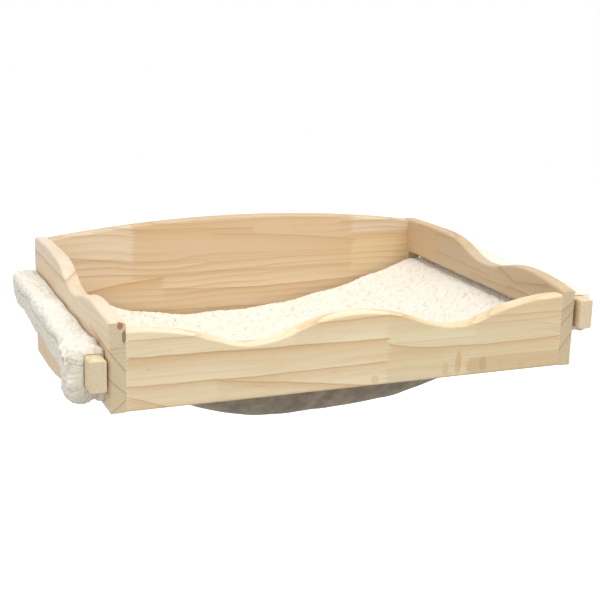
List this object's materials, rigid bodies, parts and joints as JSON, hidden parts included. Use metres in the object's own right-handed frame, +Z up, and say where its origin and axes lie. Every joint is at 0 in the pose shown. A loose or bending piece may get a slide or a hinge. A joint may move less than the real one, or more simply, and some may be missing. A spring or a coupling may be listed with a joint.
{
  "type": "cat hammock",
  "caption": "Wall-hung pine tray with wave-cut boards and a sagging fleece sling threaded through end slots onto loose side bars.",
  "frame": {"origin": "on the wall plane at the back face, midway along the frame, level with the lower edge of the front board", "axes": "+X along the frame to the right as seen from the room, +Y into the wall, +Z up"},
  "size_m": [0.6315, 0.421, 0.1887],
  "materials": {
    "pine": "sanded, clear satin",
    "pine_bar": "sanded",
    "beech_dowel": "plain",
    "sherpa": "curly sherpa pile",
    "suede": "napped microsuede",
    "zinc_steel": "zinc plated"
  },
  "bodies": {
    "frame": {"front_panel": "pine", "back_panel": "pine", "left_end_panel": "pine", "right_end_panel": "pine", "front_left_dowels": "beech_dowel", "front_right_dowels": "beech_dowel", "back_left_dowels": "beech_dowel", "back_right_dowels": "beech_dowel", "fleece_bed": "sherpa", "suede_backing": "suede", "left_sleeve": "sherpa", "right_sleeve": "sherpa", "left_hanger_plate": "zinc_steel", "right_hanger_plate": "zinc_steel", "left_hanger_screws": "zinc_steel", "right_hanger_screws": "zinc_steel"},
    "left_bar": {"left_bar": "pine_bar"},
    "right_bar": {"right_bar": "pine_bar"}
  },
  "joints": [
    {"name": "left_bar_slide", "type": "slide", "parent": "frame", "child": "left_bar", "axis": [0, -1, 0], "range_m": [0, 0.4]},
    {"name": "right_bar_slide", "type": "slide", "parent": "frame", "child": "right_bar", "axis": [0, -1, 0], "range_m": [0, 0.4]}
  ]
}
